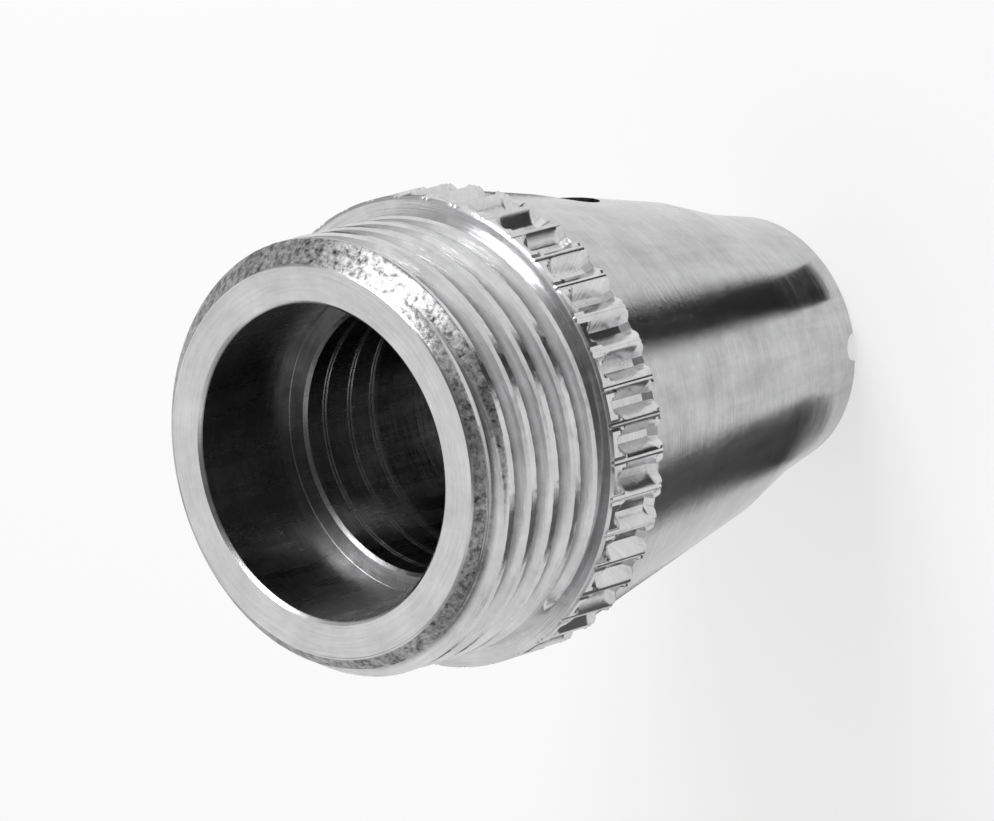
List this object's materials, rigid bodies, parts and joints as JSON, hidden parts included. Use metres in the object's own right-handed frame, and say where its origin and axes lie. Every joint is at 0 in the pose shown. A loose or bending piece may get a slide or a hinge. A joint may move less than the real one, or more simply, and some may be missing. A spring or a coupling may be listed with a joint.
{
  "type": "plasma torch nozzle",
  "caption": "Turned and plated metal nozzle with a threaded open mouth, a knurled collar, a stepped bore and a long cone that tapers to a narrow tip.",
  "frame": {"origin": "centre of the tip's flat end face, which is the lowest face", "axes": "+Z along the nozzle's axis, from the tip towards the threaded mouth; +X through the gas port; the tip's notch faces -Y"},
  "size_m": [0.0216, 0.0216, 0.0308],
  "materials": {
    "nozzle_metal": "bright nickel or chrome plate over turned brass or copper, worn and scratched"
  },
  "bodies": {
    "root": {"nozzle_body": "nozzle_metal"}
  },
  "joints": []
}
